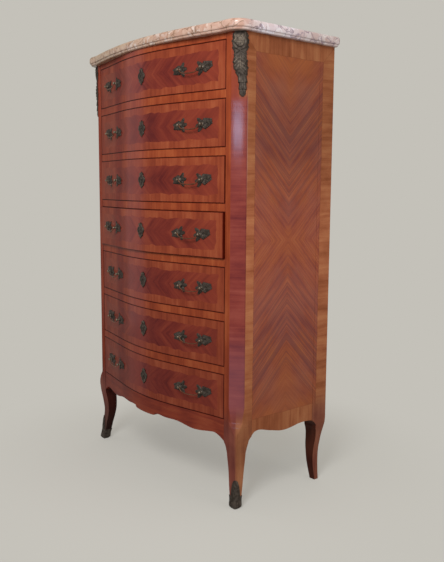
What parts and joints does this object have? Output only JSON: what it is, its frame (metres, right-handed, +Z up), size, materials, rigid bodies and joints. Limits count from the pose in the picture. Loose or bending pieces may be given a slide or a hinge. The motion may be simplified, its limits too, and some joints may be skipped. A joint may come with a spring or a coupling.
{
  "type": "semainier",
  "caption": "Tall narrow chest of drawers with a bowed veneered front, marble top, curved legs, foliate bail handles and corner mounts.",
  "frame": {"origin": "on the floor, under the middle of the whole width and depth", "axes": "+X to the right seen from the front, +Y from the front to the back, +Z up; the drawers open towards -Y"},
  "size_m": [0.79, 0.436, 1.324],
  "materials": {
    "marble": "polished",
    "rail_veneer": "french polished",
    "post_veneer": "french polished",
    "side_veneer": "satin polished",
    "drawer_veneer": "french polished",
    "drawer_wood": "plain planed",
    "carcase_wood": "plain planed",
    "bronze": "dark patina"
  },
  "bodies": {
    "case": {"marble_top": "marble", "top_board": "carcase_wood", "top_rail": "rail_veneer", "front_apron": "rail_veneer", "back_panel": "carcase_wood", "rear_rail": "carcase_wood", "bottom_board": "carcase_wood", "front_post_left": "post_veneer", "front_post_right": "post_veneer", "rear_post_left": "post_veneer", "rear_post_right": "post_veneer", "side_panel_left": "side_veneer", "side_panel_right": "side_veneer", "corner_mount_left": "bronze", "corner_mount_right": "bronze", "shoe_left": "bronze", "shoe_right": "bronze", "drawer_divider_1": "rail_veneer", "drawer_divider_2": "rail_veneer", "drawer_divider_3": "rail_veneer", "drawer_divider_4": "rail_veneer", "drawer_divider_5": "rail_veneer", "drawer_divider_6": "rail_veneer"},
    "drawer_1": {"drawer_front_1": "drawer_veneer", "drawer_box_1": "drawer_wood", "lock_1": "bronze"},
    "bail_1_left": {"bail_1_left": "bronze"},
    "bail_1_right": {"bail_1_right": "bronze"},
    "drawer_2": {"drawer_front_2": "drawer_veneer", "drawer_box_2": "drawer_wood", "lock_2": "bronze"},
    "bail_2_left": {"bail_2_left": "bronze"},
    "bail_2_right": {"bail_2_right": "bronze"},
    "drawer_3": {"drawer_front_3": "drawer_veneer", "drawer_box_3": "drawer_wood", "lock_3": "bronze"},
    "bail_3_left": {"bail_3_left": "bronze"},
    "bail_3_right": {"bail_3_right": "bronze"},
    "drawer_4": {"drawer_front_4": "drawer_veneer", "drawer_box_4": "drawer_wood", "lock_4": "bronze"},
    "bail_4_left": {"bail_4_left": "bronze"},
    "bail_4_right": {"bail_4_right": "bronze"},
    "drawer_5": {"drawer_front_5": "drawer_veneer", "drawer_box_5": "drawer_wood", "lock_5": "bronze"},
    "bail_5_left": {"bail_5_left": "bronze"},
    "bail_5_right": {"bail_5_right": "bronze"},
    "drawer_6": {"drawer_front_6": "drawer_veneer", "drawer_box_6": "drawer_wood", "lock_6": "bronze"},
    "bail_6_left": {"bail_6_left": "bronze"},
    "bail_6_right": {"bail_6_right": "bronze"},
    "drawer_7": {"drawer_front_7": "drawer_veneer", "drawer_box_7": "drawer_wood", "lock_7": "bronze"},
    "bail_7_left": {"bail_7_left": "bronze"},
    "bail_7_right": {"bail_7_right": "bronze"}
  },
  "joints": [
    {"name": "drawer_1_slide", "type": "slide", "parent": "case", "child": "drawer_1", "axis": [0, -1, 0], "range_m": [0, 0.28]},
    {"name": "bail_1_left_swing", "type": "hinge", "parent": "drawer_1", "child": "bail_1_left", "pos_m": [-0.21015, -0.18948, 1.2165], "axis": [-0.9791, 0.2035, 0], "range_deg": [0, 95]},
    {"name": "bail_1_right_swing", "type": "hinge", "parent": "drawer_1", "child": "bail_1_right", "pos_m": [0.21015, -0.18948, 1.2165], "axis": [-0.9791, -0.2035, 0], "range_deg": [0, 95]},
    {"name": "drawer_2_slide", "type": "slide", "parent": "case", "child": "drawer_2", "axis": [0, -1, 0], "range_m": [0, 0.28]},
    {"name": "bail_2_left_swing", "type": "hinge", "parent": "drawer_2", "child": "bail_2_left", "pos_m": [-0.21015, -0.18948, 1.0665], "axis": [-0.9791, 0.2035, 0], "range_deg": [0, 95]},
    {"name": "bail_2_right_swing", "type": "hinge", "parent": "drawer_2", "child": "bail_2_right", "pos_m": [0.21015, -0.18948, 1.0665], "axis": [-0.9791, -0.2035, 0], "range_deg": [0, 95]},
    {"name": "drawer_3_slide", "type": "slide", "parent": "case", "child": "drawer_3", "axis": [0, -1, 0], "range_m": [-0.002, 0.278]},
    {"name": "bail_3_left_swing", "type": "hinge", "parent": "drawer_3", "child": "bail_3_left", "pos_m": [-0.21015, -0.19148, 0.9165], "axis": [-0.9791, 0.2035, 0], "range_deg": [0, 95]},
    {"name": "bail_3_right_swing", "type": "hinge", "parent": "drawer_3", "child": "bail_3_right", "pos_m": [0.21015, -0.19148, 0.9165], "axis": [-0.9791, -0.2035, 0], "range_deg": [0, 95]},
    {"name": "drawer_4_slide", "type": "slide", "parent": "case", "child": "drawer_4", "axis": [0, -1, 0], "range_m": [-0.007, 0.273]},
    {"name": "bail_4_left_swing", "type": "hinge", "parent": "drawer_4", "child": "bail_4_left", "pos_m": [-0.21015, -0.19648, 0.7665], "axis": [-0.9791, 0.2035, 0], "range_deg": [0, 95]},
    {"name": "bail_4_right_swing", "type": "hinge", "parent": "drawer_4", "child": "bail_4_right", "pos_m": [0.21015, -0.19648, 0.7665], "axis": [-0.9791, -0.2035, 0], "range_deg": [0, 95]},
    {"name": "drawer_5_slide", "type": "slide", "parent": "case", "child": "drawer_5", "axis": [0, -1, 0], "range_m": [0, 0.28]},
    {"name": "bail_5_left_swing", "type": "hinge", "parent": "drawer_5", "child": "bail_5_left", "pos_m": [-0.21015, -0.18948, 0.6165], "axis": [-0.9791, 0.2035, 0], "range_deg": [0, 95]},
    {"name": "bail_5_right_swing", "type": "hinge", "parent": "drawer_5", "child": "bail_5_right", "pos_m": [0.21015, -0.18948, 0.6165], "axis": [-0.9791, -0.2035, 0], "range_deg": [0, 95]},
    {"name": "drawer_6_slide", "type": "slide", "parent": "case", "child": "drawer_6", "axis": [0, -1, 0], "range_m": [0, 0.28]},
    {"name": "bail_6_left_swing", "type": "hinge", "parent": "drawer_6", "child": "bail_6_left", "pos_m": [-0.21015, -0.18948, 0.4665], "axis": [-0.9791, 0.2035, 0], "range_deg": [0, 95]},
    {"name": "bail_6_right_swing", "type": "hinge", "parent": "drawer_6", "child": "bail_6_right", "pos_m": [0.21015, -0.18948, 0.4665], "axis": [-0.9791, -0.2035, 0], "range_deg": [0, 95]},
    {"name": "drawer_7_slide", "type": "slide", "parent": "case", "child": "drawer_7", "axis": [0, -1, 0], "range_m": [0, 0.28]},
    {"name": "bail_7_left_swing", "type": "hinge", "parent": "drawer_7", "child": "bail_7_left", "pos_m": [-0.21015, -0.18948, 0.3165], "axis": [-0.9791, 0.2035, 0], "range_deg": [0, 95]},
    {"name": "bail_7_right_swing", "type": "hinge", "parent": "drawer_7", "child": "bail_7_right", "pos_m": [0.21015, -0.18948, 0.3165], "axis": [-0.9791, -0.2035, 0], "range_deg": [0, 95]}
  ]
}
